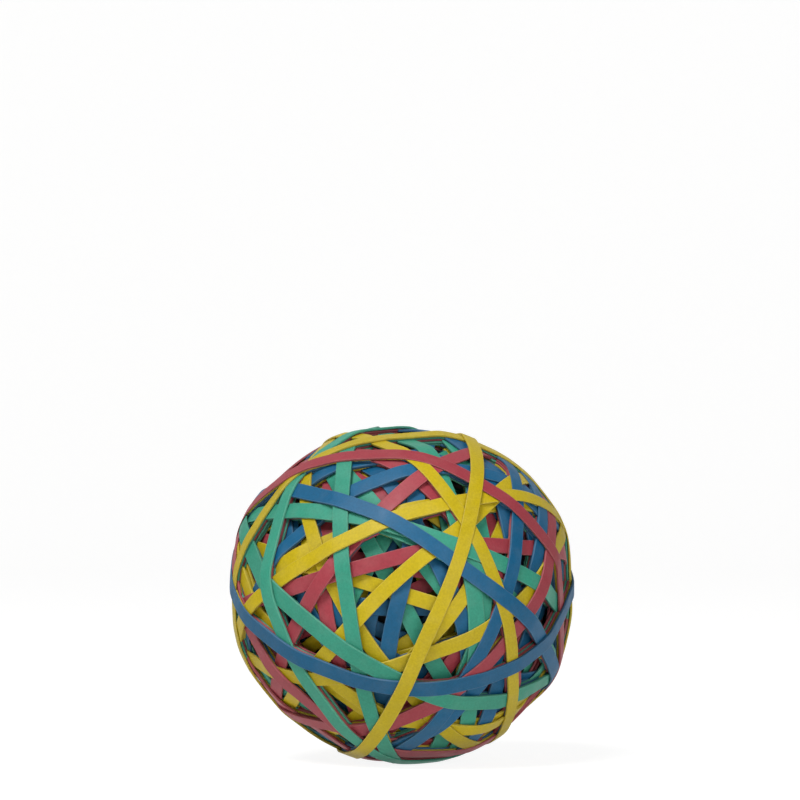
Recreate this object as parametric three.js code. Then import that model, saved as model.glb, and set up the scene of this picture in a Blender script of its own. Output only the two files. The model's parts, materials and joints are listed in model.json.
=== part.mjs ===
// A rubber band ball: coloured rubber bands stretched one over another round a core of earlier bands.
// Millimetres, +Z up, origin at the middle of the core. The face that is seen first looks along -Y.
import * as THREE from 'three';

// Driving dimensions
const CORE_DIAMETER = 62; // the ball of earlier bands, packed solid
const BAND_WIDTH = 3.1; // across one stretched band
const BAND_THICKNESS = 0.5; // through one stretched band
const SEAT_CLEARANCE = 0.04; // between a band and whatever it rests on
const OFFSET_STEP = 0.5; // one step in the place of a band's loop along its axis

// Fineness of the faceted surfaces
const BAND_SPANS = 36; // flat spans round one band
const CORE_DETAIL = 4; // splits along each edge of the icosahedron that the core is made from

const RUBBER_COLOURS = { yellow: '#d9bd2c', blue: '#2d5f9f', green: '#3da37f', red: '#bb414f' };
const CORE_COLOUR = '#4a4038';
const RUBBER_FINISH = { roughness: 0.62, metalness: 0 };

// The bands from the deepest to the last one on. A band is a loop round an axis: turn is the axis's
// bearing from +X and tilt its rise above the level, both in degrees, and steps says how many steps the
// loop lies from the middle of the ball along the axis.
const laidBands = [
  ['green', 0, 30, -1],
  ['yellow', 15, 70, -4],
  ['blue', 20, 23, -3],
  ['yellow', -166, 35, -5],
  ['blue', -178, 10, 3],
  ['red', -126, 7, 0],
  ['blue', -119, 3, 7],
  ['yellow', 122, 60, 5],
  ['red', -71, 35, -8],
  ['blue', 87, 32, -2],
  ['green', -159, 4, -7],
  ['red', 39, 27, -2],
  ['yellow', -68, 39, 1],
  ['green', 21, 7, 3],
  ['blue', -142, 0, -5],
  ['blue', 107, 37, -7],
  ['yellow', -55, 48, -9],
  ['green', 41, 57, -1],
  ['yellow', -24, 29, 2],
  ['red', 132, 75, 3],
  ['red', 156, 38, 8],
  ['yellow', 167, 46, -3],
  ['blue', -137, 26, -4],
  ['yellow', -131, 59, 3],
  ['green', 44, 67, 9],
  ['blue', -153, 22, -8],
  ['red', -84, 16, -4],
  ['red', -130, 37, 1],
  ['red', -67, 31, -7],
  ['green', -12, 8, -8],
  ['yellow', 126, 56, 1],
  ['green', -47, 53, 0],
  ['yellow', 30, 21, 4],
  ['blue', 33, 53, 2],
  ['green', -53, 12, 4],
  ['yellow', 99, 12, -5],
  ['red', 73, 35, 0],
  ['blue', -83, 56, 5],
  ['yellow', -168, 20, -1],
].map(([colour, turn, tilt, steps]) => ({ colour, turn, tilt, offset: steps * OFFSET_STEP }));

// The unit axis of a band's loop, and two unit directions that span the loop's plane.
function loopFrame({ turn, tilt }) {
  const [bearing, rise] = [turn, tilt].map(THREE.MathUtils.degToRad);
  const axis = new THREE.Vector3(
    Math.cos(rise) * Math.cos(bearing),
    Math.cos(rise) * Math.sin(bearing),
    Math.sin(rise),
  );
  const across = new THREE.Vector3(-Math.sin(bearing), Math.cos(bearing), 0);
  return { axis, across, along: new THREE.Vector3().crossVectors(axis, across) };
}

// Every edge of a solid, as pairs of end points.
function edgesOf(geometry) {
  const ends = new THREE.WireframeGeometry(geometry).getAttribute('position');
  return Array.from({ length: ends.count / 2 }, (_, i) => [
    new THREE.Vector3().fromBufferAttribute(ends, 2 * i),
    new THREE.Vector3().fromBufferAttribute(ends, 2 * i + 1),
  ]);
}

// The part of an edge that lies between two levels along an axis, as end points, or none.
function clipEdge([start, end], axis, low, high) {
  const from = start.dot(axis);
  const to = end.dot(axis);
  if (Math.max(from, to) < low || Math.min(from, to) > high) return [];
  if (from === to) return [start, end];
  return [low, high]
    .map((level) => THREE.MathUtils.clamp((level - from) / (to - from), 0, 1))
    .map((share) => new THREE.Vector3().lerpVectors(start, end, share));
}

// A band drawn tight over the edges below it. Each of its spans is a flat that faces one direction, and is
// as far from the ball's middle as the furthest thing under the band in that direction.
function tautBand(band, edgesBelow) {
  const { axis, across, along } = loopFrame(band);
  const steepest = Math.abs(band.offset) / (CORE_DIAMETER / 2);
  const halfSwath = BAND_WIDTH / 2 + BAND_THICKNESS * steepest + SEAT_CLEARANCE;
  const swath = [band.offset - halfSwath, band.offset + halfSwath];
  const pressing = edgesBelow.flatMap((edge) => clipEdge(edge, axis, ...swath));
  const highest = Math.max(...pressing.map((point) => point.length()));
  const lean = Math.asin(band.offset / highest);
  const halfWidth = (BAND_WIDTH / 2) * Math.cos(lean);

  const step = (2 * Math.PI) / BAND_SPANS;
  const radials = Array.from({ length: BAND_SPANS }, (_, i) =>
    across.clone().multiplyScalar(Math.cos(i * step)).addScaledVector(along, Math.sin(i * step)),
  );
  const reaches = radials.map((radial) => {
    const facing = radial.clone().multiplyScalar(Math.cos(lean)).addScaledVector(axis, Math.sin(lean));
    return Math.max(...pressing.map((point) => point.dot(facing))) + SEAT_CLEARANCE;
  });

  // The corner where a span meets the next one, at a height over the seat and a place across the width.
  const cornerAt = (span, height, place) => {
    const next = (span + 1) % BAND_SPANS;
    const rise = band.offset + place + height * Math.sin(lean);
    const [near, far] = [span, next].map(
      (i) => (reaches[i] + height - rise * Math.sin(lean)) / Math.cos(lean),
    );
    const sideways = new THREE.Vector3().crossVectors(axis, radials[span]);
    return radials[span]
      .clone()
      .multiplyScalar(near)
      .addScaledVector(sideways, (far - near * Math.cos(step)) / Math.sin(step))
      .addScaledVector(axis, rise);
  };

  // A turned ring of the band's section gives the faces, and each of its corners moves to its seat.
  const section = [
    [0, -halfWidth],
    [BAND_THICKNESS, -halfWidth],
    [BAND_THICKNESS, halfWidth],
    [0, halfWidth],
    [0, -halfWidth],
  ];
  const profile = section.map(([height, place]) => new THREE.Vector2(CORE_DIAMETER / 2 + height, place));
  const ring = new THREE.LatheGeometry(profile, BAND_SPANS);
  const corners = ring.getAttribute('position');
  for (let span = 0; span <= BAND_SPANS; span += 1) {
    section.forEach(([height, place], i) => {
      const { x, y, z } = cornerAt(span % BAND_SPANS, height, place);
      corners.setXYZ(span * section.length + i, x, y, z);
    });
  }
  ring.computeVertexNormals();
  return ring;
}

function rubber(colour) {
  return new THREE.MeshStandardMaterial({ color: colour, ...RUBBER_FINISH });
}

function nameOf({ colour }, number) {
  return `outer_band_${String(number).padStart(2, '0')}_${colour}`;
}

// The core goes in first, and each band is then stretched over everything already there.
function windBall() {
  const ball = new THREE.Group();
  ball.name = 'rubber_band_ball';

  const core = new THREE.Mesh(
    new THREE.IcosahedronGeometry(CORE_DIAMETER / 2, CORE_DETAIL),
    rubber(CORE_COLOUR),
  );
  core.name = 'wound_core';
  ball.add(core);

  const edges = edgesOf(core.geometry);
  laidBands.forEach((band, i) => {
    const loop = new THREE.Mesh(tautBand(band, edges), rubber(RUBBER_COLOURS[band.colour]));
    loop.name = nameOf(band, i + 1);
    ball.add(loop);
    edges.push(...edgesOf(loop.geometry));
  });
  return ball;
}

export default windBall();
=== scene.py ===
"""Dresses the solids of a rubber band ball: taut smooth bands, a packed core, rubber finishes and a stage."""

import json
import math

import bpy
import numpy as np
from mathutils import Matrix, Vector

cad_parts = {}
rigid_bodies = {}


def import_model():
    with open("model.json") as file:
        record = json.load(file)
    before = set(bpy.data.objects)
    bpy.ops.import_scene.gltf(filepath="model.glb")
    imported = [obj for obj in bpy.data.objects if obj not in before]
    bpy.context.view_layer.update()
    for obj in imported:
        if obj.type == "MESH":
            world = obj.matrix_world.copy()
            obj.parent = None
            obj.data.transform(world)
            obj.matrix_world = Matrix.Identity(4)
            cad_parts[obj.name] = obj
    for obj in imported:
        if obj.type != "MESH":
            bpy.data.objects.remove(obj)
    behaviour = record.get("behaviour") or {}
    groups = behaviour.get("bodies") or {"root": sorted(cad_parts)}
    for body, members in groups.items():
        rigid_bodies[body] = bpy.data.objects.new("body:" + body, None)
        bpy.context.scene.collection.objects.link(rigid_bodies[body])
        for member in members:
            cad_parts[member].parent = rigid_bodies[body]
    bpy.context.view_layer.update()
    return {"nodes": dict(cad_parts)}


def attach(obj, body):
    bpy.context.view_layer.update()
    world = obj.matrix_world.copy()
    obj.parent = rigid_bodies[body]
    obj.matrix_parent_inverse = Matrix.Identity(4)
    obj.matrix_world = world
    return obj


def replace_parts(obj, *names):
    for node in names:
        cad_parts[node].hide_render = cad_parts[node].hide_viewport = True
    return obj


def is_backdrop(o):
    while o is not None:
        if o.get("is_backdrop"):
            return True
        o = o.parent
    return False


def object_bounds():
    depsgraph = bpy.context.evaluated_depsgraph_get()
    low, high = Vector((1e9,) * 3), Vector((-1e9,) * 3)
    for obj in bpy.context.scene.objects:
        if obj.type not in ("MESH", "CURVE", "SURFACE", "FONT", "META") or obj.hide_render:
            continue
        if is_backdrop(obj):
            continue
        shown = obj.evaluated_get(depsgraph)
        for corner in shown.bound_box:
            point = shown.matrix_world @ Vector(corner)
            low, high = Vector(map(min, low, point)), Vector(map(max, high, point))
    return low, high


bl_info = {
    "name": "Rubber band ball",
    "version": (1, 0, 0),
    "blender": (4, 5, 0),
    "location": "View3D > Sidebar > Band ball",
    "description": "Winds smooth rubber bands over the solids of a rubber band ball and lights it",
    "category": "Object",
}

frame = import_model()

MM = 0.001
BODY = "root"
CORE_NODE = "wound_core"
PACKED_CORE = "packed_core_bands"
POINT_DECIMALS = 7  # of a metre, to which corners of a solid count as the same one
GOLDEN_ANGLE = math.pi * (3 - math.sqrt(5))

# Shape of the bands
# Each colour with its bands' width as a share of the usual width.
BAND_COLOURS = {"yellow": 0.95, "blue": 1.02, "green": 1.07, "red": 1.0}
WOUND_ARC_POINTS = 3  # round each corner of a wound band's section
PACKED_ARC_POINTS = 1  # at each corner of a packed band's section, which is a plain bevel
FLAT_INSET = 1.8  # from a cut edge to the flat of a face, in edge radii
EDGE_MARGIN = 0.1  # from that flat to where a surface counts as cut edge, in edge radii
WANDER_WAVES = (2, 7)  # fewest and most waves round a loop in which it strays sideways
WIDTH_WAVES = (2, 9)  # fewest and most waves round a loop in which its width varies
WIDTH_WOBBLE = 0.02  # of the width along one band, as a share of it
OVERLAP_PARTS = 5  # each half of a band also rests on one such part of its other half
EASING_DEGREES = 1  # over which a loop's bends are eased
NEAR_Y = 0.9  # share of Y in an axis from which its angles start at +X and not at +Y
MIDDLE_POINTS = 20000  # on the dark middle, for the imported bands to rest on

# Looks of the rubber, with sizes in millimetres
DYE_PATCH = 9  # across
CHALK_PATCH = 3  # across
GRAIN = 0.4  # across, coarser than the real 0.1
DYE_DETAIL = 2
CHALK_DETAIL = 5
GRAIN_DETAIL = 2
BASE_SHADE = 0.7  # brightness of the dye, to which the next three add
LOT_SHADE = 0.06
PATCH_SHADE = 0.16
GRAIN_SHADE = 0.45
CHALK_NOISE = (0.45, 0.8)  # in which the chalk goes from none to most
CHALK_MOST = 0.035  # as a share of the colour
EDGE_CHALK_AND_HIGHLIGHT = 0.05  # that a cut edge adds to that share, partly chalk and partly a painted highlight
ROUGHNESS_NOISE = (0.3, 0.8)  # of the chalk, in which the rubber goes from smoothest to roughest
ROUGHNESS = (0.46, 0.68)
GRAIN_STRENGTH = 0.25
GRAIN_HEIGHT = 0.05
RUBBER_IOR = 1.52
RUBBER_SPECULAR = 0.28

# Stage, with the lamps' sizes and places in metres
IMAGE_PIXELS = 800
SENSOR_WIDTH_MM = 36
SWEEP_STEPS = 24  # round the bend from the floor to the backdrop
SWEEP_PARTS = 3  # the bend's radius is one such part of the floor's reach
WHITE_STRENGTH = 1.2  # of the paper's plain white
WHITE_SHARE = 0.75  # of that white in what the camera and gloss see
KEY_SIZE = 0.36
KEY_PLACE = (-0.3, -0.45, 0.75)
FILL_SIZE = 0.5
FILL_PLACE = (0.45, -0.8, 0.25)


# Settings

def linear_from_hex(text):
    """The linear colour of an sRGB hex value such as #c8b12d, by the curve of the sRGB standard."""
    shares = np.array([int(text[i:i + 2], 16) / 255 for i in (1, 3, 5)])
    return tuple(np.where(shares <= 0.04045, shares / 12.92, ((shares + 0.055) / 1.055) ** 2.4))


def colour_property(name, description, text):
    """A colour that a user can change, given as an sRGB hex value."""
    return bpy.props.FloatVectorProperty(
        name=name, description=description, subtype="COLOR", size=3, min=0, max=1,
        default=linear_from_hex(text),
    )


def length_property(name, description, default_mm):
    """A length that a user can change, given in millimetres."""
    return bpy.props.FloatProperty(
        name=name, description=description, default=default_mm * MM, min=0, unit="LENGTH", precision=5,
    )


def count_property(name, description, default, least=1):
    """A whole number that a user can change."""
    return bpy.props.IntProperty(name=name, description=description, default=default, min=least)


def share_property(name, description, default):
    """A share that a user can change."""
    return bpy.props.FloatProperty(name=name, description=description, default=default, subtype="FACTOR")


def number_property(name, description, default):
    """A plain number that a user can change."""
    return bpy.props.FloatProperty(name=name, description=description, default=default)


class BandSettings(bpy.types.PropertyGroup):
    """Sizes of the bands that are wound over the solids."""

    steps_round: count_property("Steps round", "Cross sections round one band", 360, 48)
    bend_radius: length_property("Bend radius", "Of a band where it bends over another one", 2.5)
    width: length_property("Width", "Across one stretched band", 3.1)
    width_range: share_property("Width range", "How far one band's width may differ from another's", 0.05)
    thickness: length_property("Thickness", "Through one stretched band", 0.5)
    clearance: length_property("Clearance", "Between a band and what it rests on", 0.03)
    edge_radius: length_property("Edge radius", "Rounding of the cut edges", 0.1)
    crown: length_property("Crown", "Rise of a band's outer face in the middle", 0.03)
    wander: length_property("Wander", "How far a band strays sideways from its plane", 0.35)
    round_radius: length_property("Round radius", "Past which stacked bands are pressed in", 34)
    give: length_property("Give", "The most that stacked bands may stand out past that radius", 1.8)


class CoreSettings(bpy.types.PropertyGroup):
    """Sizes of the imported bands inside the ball."""

    bands: count_property("Bands", "Bands that are packed round the core", 54)
    steps_round: count_property("Steps round", "Cross sections round one packed band", 144, 24)
    build_up: length_property("Build-up", "Of the packed bands over the dark middle", 3.45)
    spread: length_property("Spread", "How far a packed loop may lie beside the ball's middle", 9)
    layers: count_property("Layers", "Packed bands under each wound one", 4)
    layer_pitch: length_property("Layer pitch", "From one of those layers to the next", 0.48)
    layer_stray: length_property("Layer stray", "How far a layer lies beside its band's middle", 0.15)
    layer_skip: count_property("Layer skip", "Cross sections of a wound band for each one of its layers", 6)
    layer_share: share_property("Layer share", "Width of those layers as a share of a band's", 0.7)


class RubberSettings(bpy.types.PropertyGroup):
    """Colours of the rubber, and the painted shade of the ball's middle."""

    yellow: colour_property("Yellow", "Yellow dye", "#b59f0a")
    blue: colour_property("Blue", "Blue dye", "#08547a")
    green: colour_property("Green", "Green dye", "#328c74")
    red: colour_property("Red", "Red dye", "#953640")
    # Painted shade: this dark colour stands in for the shade deep between the packed bands.
    painted_shade: colour_property("Dark", "The middle of the ball, in the shade", "#1d1916")
    # Pale chalk. On the cut edges it also serves as a painted highlight.
    chalk_and_highlight: colour_property("Bloom", "Chalk on the rubber", "#dcd8cc")


class StageSettings(bpy.types.PropertyGroup):
    """Camera, floor and light."""

    ball_pixels: number_property("Ball width", "Width of the ball in the picture, in pixels", 344)
    ball_column: number_property("Ball column", "Picture column of the ball's middle", 403)
    ball_row: number_property("Ball row", "Picture row of the ball's middle", 593)
    ball_width: length_property("Ball size", "Width of the ball that the picture's scale comes from", 69)
    camera_distance: length_property("Camera distance", "From the camera to the ball's middle", 900)
    floor_reach: length_property("Floor reach", "From the ball to the edge of the floor", 1500)
    backdrop: colour_property("Backdrop", "Colour of the floor and the backdrop", "#f4f4f2")
    sky_strength: number_property("Sky", "Strength of the even light", 0.16)
    key_watts: number_property("Key lamp", "Power of the lamp above", 7.8)
    fill_watts: number_property("Fill lamp", "Power of the lamp in front", 3.0)


# Meshes

def closed_ring_faces(steps, corners):
    """Quads of a profile of so many corners carried round a closed path of so many steps."""
    step, corner = np.meshgrid(np.arange(steps), np.arange(corners), indexing="ij")
    here, after = step * corners, (step + 1) % steps * corners
    beside = (corner + 1) % corners
    quads = [here + corner, after + corner, after + beside, here + beside]
    return np.stack(quads, axis=-1).reshape(-1, 4)


def new_piece(name, vertices, faces, materials, face_materials=None, attributes=None):
    """A smooth mesh object at the origin, with its materials and its named numbers for every vertex."""
    mesh = bpy.data.meshes.new(name)
    mesh.from_pydata(vertices, [], faces)
    mesh.polygons.foreach_set("use_smooth", np.ones(len(faces), dtype=bool))
    for material in materials:
        mesh.materials.append(material)
    if face_materials is not None:
        mesh.polygons.foreach_set("material_index", face_materials)
    for label, values in (attributes or {}).items():
        mesh.attributes.new(label, "FLOAT", "POINT").data.foreach_set("value", values.astype(np.float32))
    mesh.update()
    piece = bpy.data.objects.new(name, mesh)
    bpy.context.scene.collection.objects.link(piece)
    return piece


def band_section(width, thickness, edge_radius, crown, arc_points):
    """An oblong section with rounded corners, as (sideways, height) pairs, and which are on a cut edge.

    Height is 0 at the outer face. Each corner is a quarter circle of so many points, or a bevel for one
    point. The outer face rises by the crown in the middle as crown (1 - (2 sideways / width)^2).
    """
    half, bend = width / 2, edge_radius
    turn = np.linspace(0, math.pi / 2, arc_points)
    corner = np.stack([half - bend + bend * np.cos(turn), bend * np.sin(turn) - bend], axis=1)
    flat_end = half - FLAT_INSET * bend
    flat = np.array([[flat_end, 0.0], [0.0, 0.0], [-flat_end, 0.0]])
    upper = np.concatenate([corner, flat, corner[::-1] * (-1, 1)])
    lower = upper[::-1] * (1, -1) - (0, thickness)
    section = np.concatenate([upper, lower])
    rise = np.where(section[:, 1] > -thickness / 2, crown, 0.0)
    section[:, 1] += rise * (1 - (section[:, 0] / half) ** 2)
    cut_edge = (np.abs(section[:, 0]) > flat_end + EDGE_MARGIN * bend).astype(float)
    return section, cut_edge


def carried(section, middle, outward, sideways, widths, tips):
    """A section carried along a path that has an outward direction o and a sideways direction d.

    Where the section is tipped by t and its width is scaled by w, its point (s, h) goes to
    middle + w s (cos t d + sin t o) + h (cos t o - sin t d).
    """
    side = section[None, :, 0, None] * widths[:, None, None]
    height = section[None, :, 1, None]
    cos_tip, sin_tip = np.cos(tips)[:, None, None], np.sin(tips)[:, None, None]
    across = cos_tip * sideways[:, None] + sin_tip * outward[:, None]
    upward = cos_tip * outward[:, None] - sin_tip * sideways[:, None]
    return middle[:, None] + side * across + height * upward


# Band paths

def object_points(piece):
    """The vertices of an object at the origin."""
    points = np.empty(3 * len(piece.data.vertices), dtype=np.float32)
    piece.data.vertices.foreach_get("co", points)
    return points.reshape(-1, 3).astype(float)


def node_corners(name):
    """A node's corners, each once: its mesh repeats them for every triangle."""
    return np.unique(object_points(frame["nodes"][name]).round(POINT_DECIMALS), axis=0)


def node_loop(name):
    """A band node's axis, in which its corners spread least, and how far along it the loop lies."""
    corners = node_corners(name)
    axis = np.linalg.svd(corners - corners.mean(axis=0), full_matrices=False)[2][2]
    axis *= np.sign(axis[np.abs(axis).argmax()])
    return axis, (corners @ axis).mean()


def band_nodes():
    """The names of the band nodes, in the order in which they were wound."""
    return sorted(name for name in frame["nodes"] if name != CORE_NODE)


def core_radius():
    """The radius of the core's solid."""
    return np.linalg.norm(node_corners(CORE_NODE), axis=1).max()


def spread_directions(count):
    """Directions spread evenly over a sphere along a golden spiral."""
    number = np.arange(count)
    rise = 1 - (2 * number + 1) / count
    turn = number * GOLDEN_ANGLE
    flat = np.sqrt(1 - rise ** 2)
    return np.stack([flat * np.cos(turn), flat * np.sin(turn), rise], axis=1)


def wobble(rng, angles, waves):
    """A smooth closed wobble of unit size: cosines of whole waves round the loop, the shorter the weaker."""
    counts = np.arange(waves[0], waves[1] + 1)
    weights = 1 / counts
    phases = rng.uniform(0, 2 * math.pi, counts.size)
    return np.cos(np.outer(angles, counts) + phases) @ weights / math.sqrt((weights ** 2).sum() / 2)


def drawn_over(points, facing, bend_radius):
    """How far out along each facing a loop lies when it is drawn tight over points.

    The furthest point in every direction gives the straight lines that the loop can't pass below, and it
    lies on the lowest of them at each angle. It is then rounded by the bend radius where it rests, and eased.
    """
    held = (facing @ points.T).max(axis=1)
    mean = held.mean()
    angles = np.linspace(0, 2 * math.pi, len(held), endpoint=False)
    dip = mean * (1 - np.cos(angles[:, None] - angles))
    tight = (held + dip).min(axis=1)
    rounded = (tight - mean / bend_radius * dip).max(axis=1)
    waves = np.fft.rfftfreq(len(held), 1 / len(held))
    easing = np.exp(-((waves * math.radians(EASING_DEGREES)) ** 2) / 2)
    return np.fft.irfft(np.fft.rfft(rounded) * easing, len(held))


def band_path(axis, level, share, steps, rng, below, settings):
    """The path of a band drawn over the points below it: its middle line, two directions, widths and tips.

    The band leans to follow the ball: at angle a round its axis, where u(a) points away from that axis, it
    faces e(a) = cos(lean) u(a) + sin(lean) axis. Its two halves are drawn over what lies under each. Their
    mean r(a) gives the middle line d(a) u(a) + level axis with d(a) = (r(a) - level sin(lean)) / cos(lean),
    and their difference tips the section.
    """
    lean = math.asin(level / np.linalg.norm(below, axis=1).max())
    back = np.array([0.0, 1.0, 0.0]) if abs(axis[1]) < NEAR_Y else np.array([1.0, 0.0, 0.0])
    back = back - axis * (back @ axis)
    back /= np.linalg.norm(back)
    across = np.cross(axis, back)
    angles = np.linspace(0, 2 * math.pi, 2 * steps, endpoint=False)
    radial = np.cos(angles)[:, None] * back + np.sin(angles)[:, None] * across
    tangent = np.cross(axis, radial)
    wander = settings.wander * wobble(rng, angles, WANDER_WAVES)
    widths = share * (1 + WIDTH_WOBBLE * wobble(rng, angles, WIDTH_WAVES))

    bearing = np.arctan2(below @ across, below @ back)
    aside = below @ axis - level - np.interp(bearing, angles, wander, period=2 * math.pi)
    facing = math.cos(lean) * radial + math.sin(lean) * axis
    half = share * settings.width / 2 + settings.clearance
    over = half / OVERLAP_PARTS
    sides = [(aside > -half) & (aside < over), (aside > -over) & (aside < half)]
    left, right = (drawn_over(below[side], facing, settings.bend_radius) for side in sides)
    reach = (left + right) / 2 + settings.clearance + settings.thickness
    tips = np.arctan((right - left) / (2 * half))

    distance = (reach - level * math.sin(lean)) / math.cos(lean)
    waves = np.fft.rfftfreq(angles.size, 1 / angles.size)
    slope = np.fft.irfft(1j * waves * np.fft.rfft(distance), angles.size)
    upright = distance[:, None] * radial - slope[:, None] * tangent
    upright /= np.linalg.norm(upright, axis=1)[:, None]
    outward = math.cos(lean) * upright + math.sin(lean) * axis
    sideways = math.cos(lean) * axis - math.sin(lean) * upright
    line = distance[:, None] * radial + level * axis + wander[:, None] * sideways
    return [part[::2] for part in (line, outward, sideways, widths, tips)]


def outer_face(surface):
    """The points on the outer half of a band's surface."""
    return surface[:, :surface.shape[1] // 2].reshape(-1, 3)


def pressed(points, radius, give):
    """Points drawn in where they stand out past a radius R, as a ball that is rolled on a desk gets rounder.

    A point at radius r goes to R + give (1 - exp((R - r) / give)). The map only depends on r and rises with
    it, so the bands keep their order.
    """
    reach = np.linalg.norm(points, axis=-1, keepdims=True)
    rolled = radius + give * (1 - np.exp(np.minimum(radius - reach, 0) / give))
    return np.where(reach > radius, points * (rolled / reach), points)


# Materials

def add_node(tree, kind, settings=None, inputs=None):
    """Adds a node, sets its own settings, and sets or links its inputs, which a number or a name picks."""
    node = tree.nodes.new(kind)
    for name, value in (settings or {}).items():
        setattr(node, name, value)
    for name, value in (inputs or {}).items():
        if isinstance(value, bpy.types.NodeSocket):
            tree.links.new(value, node.inputs[name])
        else:
            node.inputs[name].default_value = value
    return node


def maths(tree, operation, *numbers):
    """The output of a maths node for plain numbers or other nodes' outputs."""
    return add_node(tree, "ShaderNodeMath", {"operation": operation}, dict(enumerate(numbers))).outputs[0]


def ranged(tree, value, source, target):
    """The output of a node that takes one range of numbers to another and holds at its ends."""
    ends = {"From Min": source[0], "From Max": source[1], "To Min": target[0], "To Max": target[1]}
    return add_node(tree, "ShaderNodeMapRange", inputs={"Value": value, **ends}).outputs["Result"]


def rubber(colour):
    """Dyed natural rubber, extruded as a tube and cut into bands.

    The eye sees a soft satin from the skin of the tube, a fine grain in relief and in tone, dye that differs
    a little from band to band, and a pale bloom of chalk that gathers in patches, and along the cut edges a
    pale line that is partly chalk and partly a painted highlight.
    """
    name = f"{colour} natural rubber"
    if name in bpy.data.materials:
        return bpy.data.materials[name]
    colours = bpy.context.scene.rubber_settings
    material = bpy.data.materials.new(name)
    material.use_nodes = True
    tree = material.node_tree
    shader = tree.nodes["Principled BSDF"]
    place = add_node(tree, "ShaderNodeTexCoord").outputs["Object"]
    dye_lot, cut_edge = (
        add_node(tree, "ShaderNodeAttribute", {"attribute_name": label}).outputs["Fac"]
        for label in ("dye_lot", "cut_edge")
    )
    patches, chalk, grain = (
        add_node(
            tree, "ShaderNodeTexNoise", inputs={"Vector": place, "Scale": 1 / (size * MM), "Detail": detail},
        ).outputs["Fac"]
        for size, detail in ((DYE_PATCH, DYE_DETAIL), (CHALK_PATCH, CHALK_DETAIL), (GRAIN, GRAIN_DETAIL))
    )

    shade = maths(tree, "MULTIPLY_ADD", dye_lot, LOT_SHADE, BASE_SHADE)
    shade = maths(tree, "MULTIPLY_ADD", patches, PATCH_SHADE, shade)
    shade = maths(tree, "MULTIPLY_ADD", grain, GRAIN_SHADE, shade)
    dyed = add_node(
        tree, "ShaderNodeHueSaturation", inputs={"Value": shade, "Color": (*getattr(colours, colour), 1)},
    ).outputs["Color"]
    chalk_share = ranged(tree, chalk, CHALK_NOISE, (0, CHALK_MOST))
    # Each cut edge gets a pale line that is partly chalk and partly a painted highlight.
    bloom_and_highlight_share = maths(tree, "MULTIPLY_ADD", cut_edge, EDGE_CHALK_AND_HIGHLIGHT, chalk_share)
    # Inputs 6 and 7 of a mix node are its two colours, and output 2 is the mixed one.
    bloomed_and_highlighted = add_node(
        tree, "ShaderNodeMix", {"data_type": "RGBA"},
        {"Factor": bloom_and_highlight_share, 6: dyed, 7: (*colours.chalk_and_highlight, 1)},
    ).outputs[2]
    bump = add_node(
        tree, "ShaderNodeBump",
        inputs={"Height": grain, "Strength": GRAIN_STRENGTH, "Distance": GRAIN_HEIGHT * MM},
    ).outputs["Normal"]
    tree.links.new(bloomed_and_highlighted, shader.inputs["Base Color"])
    tree.links.new(ranged(tree, chalk, ROUGHNESS_NOISE, ROUGHNESS), shader.inputs["Roughness"])
    tree.links.new(bump, shader.inputs["Normal"])
    shader.inputs["IOR"].default_value = RUBBER_IOR
    shader.inputs["Specular IOR Level"].default_value = RUBBER_SPECULAR
    return material


# Pieces

def packed_piece(name, rings, section_edges, rng):
    """One piece of packed bands that are all made alike, each in a colour and a shade of its own."""
    steps, corners = rings[0].shape[:2]
    ring_faces = closed_ring_faces(steps, corners)
    start = steps * corners * np.arange(len(rings))
    faces = (ring_faces[None] + start[:, None, None]).reshape(-1, 4)
    colours = np.repeat(rng.integers(0, len(BAND_COLOURS), len(rings)), len(ring_faces))
    dye_lot = np.repeat(rng.uniform(-1, 1, len(rings)), steps * corners)
    cut_edge = np.tile(section_edges, len(rings) * steps)
    materials = [rubber(colour) for colour in BAND_COLOURS]
    piece = new_piece(
        name, np.concatenate(rings).reshape(-1, 3), faces, materials, colours,
        {"dye_lot": dye_lot, "cut_edge": cut_edge},
    )
    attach(piece, BODY)
    return piece


class BALL_OT_pack_core(bpy.types.Operator):
    """Packs bands that cross in every direction round a dark middle"""

    bl_idname = "ball.pack_core"
    bl_label = "Pack the core"

    def execute(self, context):
        core, bands = context.scene.core_settings, context.scene.band_settings
        middle_radius = core_radius() - core.build_up
        self.dark_middle(middle_radius)
        rng = np.random.default_rng(core.bands)
        section, section_edges = band_section(
            bands.width, bands.thickness, bands.edge_radius, 0, PACKED_ARC_POINTS,
        )
        below = middle_radius * spread_directions(MIDDLE_POINTS)
        rings = []
        # The upper half of the directions is enough, since an axis and its opposite make the same loop.
        for axis in rng.permutation(spread_directions(2 * core.bands)[:core.bands]):
            level = core.spread * rng.uniform(-1, 1)
            path = band_path(axis, level, 1, core.steps_round, rng, below, bands)
            rings.append(carried(section, *path))
            below = np.concatenate([below, outer_face(rings[-1])])
        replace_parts(packed_piece(PACKED_CORE, rings, section_edges, rng), CORE_NODE)
        return {"FINISHED"}

    def dark_middle(self, radius):
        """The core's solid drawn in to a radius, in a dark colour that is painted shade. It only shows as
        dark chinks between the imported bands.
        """
        node = frame["nodes"][CORE_NODE]
        corners = object_points(node).round(POINT_DECIMALS)
        points, number = np.unique(corners, axis=0, return_inverse=True)
        triangles = np.empty(3 * len(node.data.polygons), dtype=np.int32)
        node.data.polygons.foreach_get("vertices", triangles)
        faces = number.reshape(-1)[triangles].reshape(-1, 3)
        # The middle's dark colour is painted shade, not a dye of the rubber.
        piece = new_piece("painted_shade_core_middle", points * (radius / core_radius()), faces, [rubber("painted_shade")])
        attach(piece, BODY)


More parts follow.
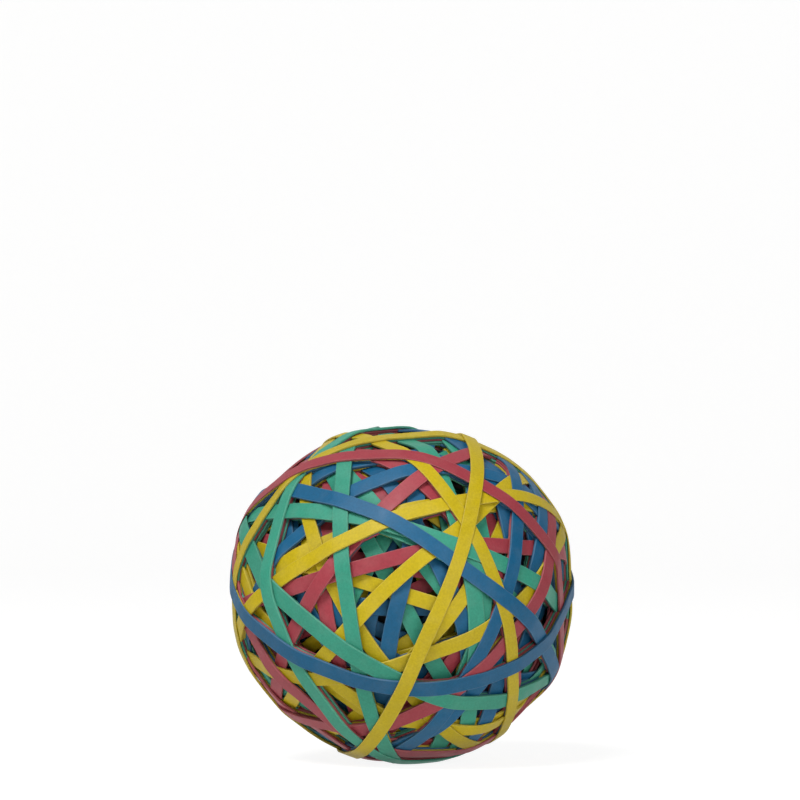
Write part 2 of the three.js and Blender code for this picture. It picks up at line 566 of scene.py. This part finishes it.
class BALL_OT_wind_bands(bpy.types.Operator):
    """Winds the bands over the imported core, from the deepest to the last one on"""

    bl_idname = "ball.wind_bands"
    bl_label = "Wind the bands"

    def execute(self, context):
        bands = context.scene.band_settings
        section, section_edges = band_section(
            bands.width, bands.thickness, bands.edge_radius, bands.crown, WOUND_ARC_POINTS,
        )
        below = object_points(bpy.data.objects[PACKED_CORE])
        for number, name in enumerate(band_nodes()):
            colour = name.rsplit("_", 1)[1]
            rng = np.random.default_rng(number)
            share = BAND_COLOURS[colour] * (1 + bands.width_range * rng.uniform(-1, 1))
            path = band_path(*node_loop(name), share, bands.steps_round, rng, below, bands)
            surface = carried(section, *path)
            # Later bands rest on this one as it was wound, and the whole stack is pressed alike.
            below = np.concatenate([below, outer_face(surface)])
            dye_lot = np.full(surface.shape[0] * surface.shape[1], rng.uniform(-1, 1))
            points = pressed(surface, bands.round_radius, bands.give).reshape(-1, 3)
            piece = new_piece(
                f"wound_{name}", points, closed_ring_faces(*surface.shape[:2]), [rubber(colour)],
                attributes={"dye_lot": dye_lot, "cut_edge": np.tile(section_edges, surface.shape[0])},
            )
            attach(piece, BODY)
            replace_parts(piece, name)
        return {"FINISHED"}


class BALL_OT_fill_under_bands(bpy.types.Operator):
    """Lays packed bands in layers under each wound band, which show where it bridges a gap"""

    bl_idname = "ball.fill_under_bands"
    bl_label = "Fill under the bands"

    def execute(self, context):
        core, bands = context.scene.core_settings, context.scene.band_settings
        rng = np.random.default_rng(core.layers)
        section, section_edges = band_section(
            core.layer_share * bands.width, bands.thickness, bands.edge_radius, 0, PACKED_ARC_POINTS,
        )
        rings = []
        for name in band_nodes():
            points = object_points(bpy.data.objects[f"wound_{name}"]).reshape(bands.steps_round, -1, 3)
            points = points[::core.layer_skip]
            # The middles of the outer and the inner face are a quarter and three quarters round the section.
            outer = points.shape[1] // 4
            inner = outer + points.shape[1] // 2
            outward = points[:, outer] - points[:, inner]
            outward /= np.linalg.norm(outward, axis=1)[:, None]
            sideways = points[:, outer - 1] - points[:, outer + 1]
            sideways /= np.linalg.norm(sideways, axis=1)[:, None]
            widths, tips = np.ones(len(points)), np.zeros(len(points))
            for layer in range(core.layers):
                drop = bands.clearance + layer * core.layer_pitch
                aside = core.layer_stray * rng.uniform(-1, 1)
                line = points[:, inner] - drop * outward + aside * sideways
                rings.append(carried(section, line, outward, sideways, widths, tips))
        packed_piece("packed_layer_bands", rings, section_edges, rng)
        return {"FINISHED"}


# Stage

class BALL_OT_set_stage(bpy.types.Operator):
    """Sets a pale floor that sweeps up into a backdrop, soft light and the camera"""

    bl_idname = "ball.set_stage"
    bl_label = "Set the stage"

    def execute(self, context):
        stage = context.scene.stage_settings
        self.sweep_floor(stage)
        self.light(stage)
        self.aim_camera(stage)
        return {"FINISHED"}

    def sweep_floor(self, stage):
        """A flat floor at the ball's lowest point, with a quarter circle behind that rises into a wall."""
        reach, floor = stage.floor_reach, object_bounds()[0][2]
        bend = reach / SWEEP_PARTS
        turn = np.linspace(0, math.pi / 2, SWEEP_STEPS)
        depth = np.concatenate([[-reach], reach - bend + bend * np.sin(turn), [reach]])
        height = np.concatenate([[0], bend - bend * np.cos(turn), [2 * reach]]) + floor
        columns = np.array([-2 * reach, 2 * reach])
        points = np.stack(
            [np.tile(columns, depth.size), np.repeat(depth, 2), np.repeat(height, 2)], axis=1,
        )
        start = 2 * np.arange(depth.size - 1)
        faces = np.stack([start, start + 1, start + 3, start + 2], axis=1)
        new_piece("floor_and_backdrop", points, faces, [self.paper(stage)])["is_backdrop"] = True

    def paper(self, stage):
        """Matt backdrop paper. The camera, and gloss, see it mostly plain white, so shadows stay faint."""
        material = bpy.data.materials.new("matt backdrop paper")
        material.use_nodes = True
        tree = material.node_tree
        shader = tree.nodes["Principled BSDF"]
        shader.inputs["Base Color"].default_value = (*stage.backdrop, 1)
        shader.inputs["Roughness"].default_value = 1
        shader.inputs["Specular IOR Level"].default_value = 0
        white = add_node(
            tree, "ShaderNodeEmission", inputs={"Color": (1, 1, 1, 1), "Strength": WHITE_STRENGTH},
        ).outputs[0]
        rays = add_node(tree, "ShaderNodeLightPath").outputs
        seen = maths(tree, "ADD", rays["Is Camera Ray"], rays["Is Glossy Ray"])
        seen = maths(tree, "ADD", seen, rays["Is Transmission Ray"])
        share = maths(tree, "MULTIPLY", seen, WHITE_SHARE)
        mixed = add_node(
            tree, "ShaderNodeMixShader", inputs={0: share, 1: shader.outputs[0], 2: white},
        ).outputs[0]
        tree.links.new(mixed, tree.nodes["Material Output"].inputs["Surface"])
        return material

    def light(self, stage):
        """Even light all round, a wide lamp above to the left and a wide weaker one beside the camera."""
        world = bpy.data.worlds.new("even studio light")
        world.use_nodes = True
        sky = world.node_tree.nodes["Background"].inputs
        sky["Color"].default_value = (1, 1, 1, 1)
        sky["Strength"].default_value = stage.sky_strength
        bpy.context.scene.world = world
        for name, watts, size, spot in (
            ("key_lamp", stage.key_watts, KEY_SIZE, KEY_PLACE),
            ("fill_lamp", stage.fill_watts, FILL_SIZE, FILL_PLACE),
        ):
            lamp = bpy.data.lights.new(name, "AREA")
            lamp.energy = watts
            lamp.size = size
            holder = bpy.data.objects.new(name, lamp)
            holder.location = spot
            tilt = math.atan2(math.hypot(spot[0], spot[1]), spot[2])
            holder.rotation_euler = (tilt, 0, math.atan2(spot[0], -spot[1]))
            bpy.context.scene.collection.objects.link(holder)

    def aim_camera(self, stage):
        """A level camera that looks along +Y, with the ball at its place and size in the picture."""
        middle = IMAGE_PIXELS / 2
        pixel = stage.ball_width / stage.ball_pixels
        camera = bpy.data.cameras.new("camera")
        camera.sensor_width = SENSOR_WIDTH_MM
        camera.lens = camera.sensor_width * stage.camera_distance / (pixel * IMAGE_PIXELS)
        holder = bpy.data.objects.new("camera", camera)
        holder.location = (
            (middle - stage.ball_column) * pixel, -stage.camera_distance, (stage.ball_row - middle) * pixel,
        )
        holder.rotation_euler = (math.pi / 2, 0, 0)
        bpy.context.scene.collection.objects.link(holder)
        bpy.context.scene.camera = holder
        bpy.context.scene.view_settings.view_transform = "Standard"


# Add-on

class BALL_PT_sidebar(bpy.types.Panel):
    """Lists the steps that dress the ball"""

    bl_idname = "BALL_PT_sidebar"
    bl_label = "Rubber band ball"
    bl_space_type = "VIEW_3D"
    bl_region_type = "UI"
    bl_category = "Band ball"

    def draw(self, context):
        for operator in STEPS:
            self.layout.operator(operator.bl_idname)


STEPS = (BALL_OT_pack_core, BALL_OT_wind_bands, BALL_OT_fill_under_bands, BALL_OT_set_stage)
SETTINGS = {
    "band_settings": BandSettings,
    "core_settings": CoreSettings,
    "rubber_settings": RubberSettings,
    "stage_settings": StageSettings,
}


def register():
    """Adds the settings, the steps and the sidebar to Blender."""
    for kind in (*SETTINGS.values(), *STEPS, BALL_PT_sidebar):
        bpy.utils.register_class(kind)
    for name, kind in SETTINGS.items():
        setattr(bpy.types.Scene, name, bpy.props.PointerProperty(type=kind))


def unregister():
    """Takes them out again."""
    for name in SETTINGS:
        delattr(bpy.types.Scene, name)
    for kind in (BALL_PT_sidebar, *reversed(STEPS), *reversed(SETTINGS.values())):
        bpy.utils.unregister_class(kind)


def main():
    """Dresses the ball step by step."""
    register()
    bpy.ops.ball.pack_core()
    bpy.ops.ball.wind_bands()
    bpy.ops.ball.fill_under_bands()
    bpy.ops.ball.set_stage()


if __name__ == "__main__":
    main()
